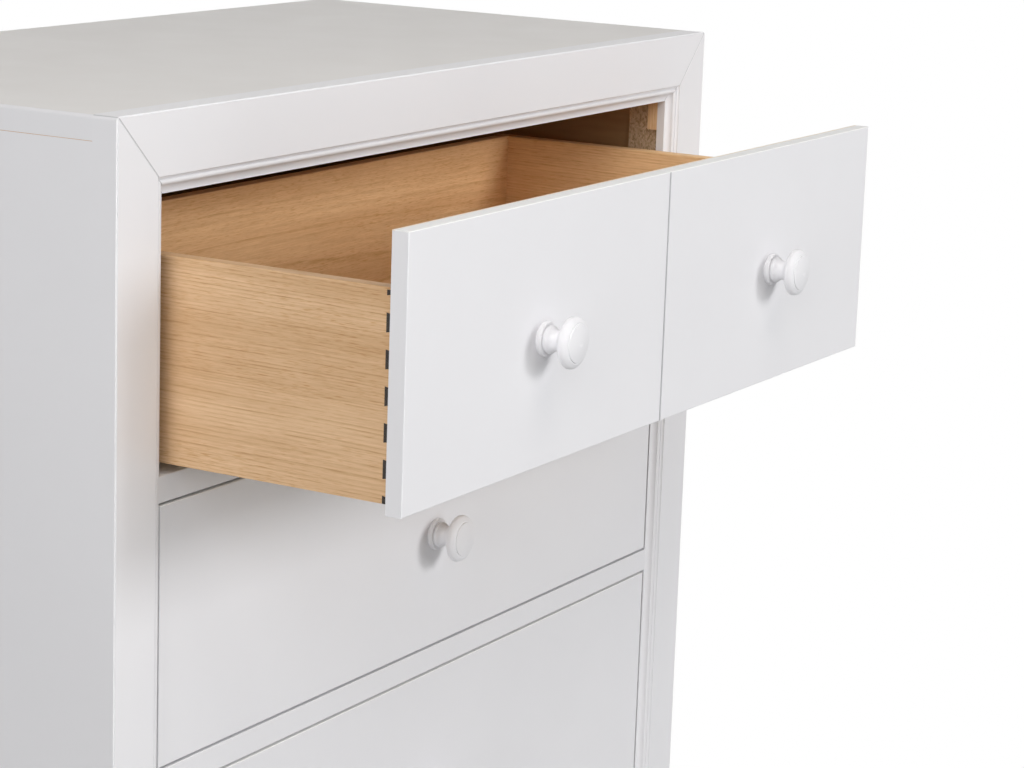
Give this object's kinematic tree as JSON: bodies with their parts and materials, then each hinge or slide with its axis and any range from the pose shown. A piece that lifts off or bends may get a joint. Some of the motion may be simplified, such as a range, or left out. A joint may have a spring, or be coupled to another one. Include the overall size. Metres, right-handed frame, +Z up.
{
  "type": "tall chest of drawers",
  "caption": "Tall white painted chest of drawers with a mitred, moulded front frame, inset drawers with dovetailed boxes on wooden runners, turned round knobs and a recessed plinth.",
  "frame": {"origin": "on the floor, at the middle of the back edge of the chest", "axes": "+Z up, -Y out of the front, +X to the right of someone facing the front"},
  "size_m": [0.852, 0.6326, 1.238],
  "materials": {
    "white_paint": "satin white paint over wood",
    "drawer_wood": "clear-finished pale hardwood",
    "dovetail_wood": "dark stained end grain",
    "drawer_bottom": "tan faced thin board",
    "chipboard": "raw chipboard",
    "hardboard": "brown hardboard",
    "raw_pine": "unfinished softwood",
    "screw_steel": "zinc plated"
  },
  "bodies": {
    "carcass": {"back_nails": "screw_steel", "back_panel": "hardboard", "bottom_panel": "chipboard", "corner_blocks": "raw_pine", "drawer_guides": "raw_pine", "drawer_rail_1": "white_paint", "drawer_rail_2": "white_paint", "drawer_rail_3": "white_paint", "drawer_rail_4": "white_paint", "drawer_runners": "raw_pine", "drawer_stops": "raw_pine", "frame_bottom_rail": "white_paint", "frame_left_stile": "white_paint", "frame_right_stile": "white_paint", "frame_top_rail": "white_paint", "left_side_panel": "white_paint", "plinth_boards": "white_paint", "right_side_panel": "white_paint", "stile_cleats": "chipboard", "top_panel": "white_paint"},
    "drawer_1": {"drawer_1_back": "drawer_wood", "drawer_1_bottom": "drawer_bottom", "drawer_1_front": "white_paint", "drawer_1_inner_front": "dovetail_wood", "drawer_1_knob_screws": "screw_steel", "drawer_1_knobs": "white_paint", "drawer_1_left_side": "drawer_wood", "drawer_1_right_side": "drawer_wood"},
    "drawer_2": {"drawer_2_back": "drawer_wood", "drawer_2_bottom": "drawer_bottom", "drawer_2_front": "white_paint", "drawer_2_inner_front": "dovetail_wood", "drawer_2_knob": "white_paint", "drawer_2_knob_screw": "screw_steel", "drawer_2_left_side": "drawer_wood", "drawer_2_right_side": "drawer_wood"},
    "drawer_3": {"drawer_3_back": "drawer_wood", "drawer_3_bottom": "drawer_bottom", "drawer_3_front": "white_paint", "drawer_3_inner_front": "dovetail_wood", "drawer_3_knob": "white_paint", "drawer_3_knob_screw": "screw_steel", "drawer_3_left_side": "drawer_wood", "drawer_3_right_side": "drawer_wood"},
    "drawer_4": {"drawer_4_back": "drawer_wood", "drawer_4_bottom": "drawer_bottom", "drawer_4_front": "white_paint", "drawer_4_inner_front": "dovetail_wood", "drawer_4_knob": "white_paint", "drawer_4_knob_screw": "screw_steel", "drawer_4_left_side": "drawer_wood", "drawer_4_right_side": "drawer_wood"},
    "drawer_5": {"drawer_5_back": "drawer_wood", "drawer_5_bottom": "drawer_bottom", "drawer_5_front": "white_paint", "drawer_5_inner_front": "dovetail_wood", "drawer_5_knob": "white_paint", "drawer_5_knob_screw": "screw_steel", "drawer_5_left_side": "drawer_wood", "drawer_5_right_side": "drawer_wood"}
  },
  "joints": [
    {"name": "drawer_1_slide", "type": "slide", "parent": "carcass", "child": "drawer_1", "axis": [0, -1, 0], "range_m": [-0.198, 0.067]},
    {"name": "drawer_2_slide", "type": "slide", "parent": "carcass", "child": "drawer_2", "axis": [0, -1, 0], "range_m": [0, 0.265]},
    {"name": "drawer_3_slide", "type": "slide", "parent": "carcass", "child": "drawer_3", "axis": [0, -1, 0], "range_m": [0, 0.265]},
    {"name": "drawer_4_slide", "type": "slide", "parent": "carcass", "child": "drawer_4", "axis": [0, -1, 0], "range_m": [0, 0.265]},
    {"name": "drawer_5_slide", "type": "slide", "parent": "carcass", "child": "drawer_5", "axis": [0, -1, 0], "range_m": [0, 0.265]}
  ]
}
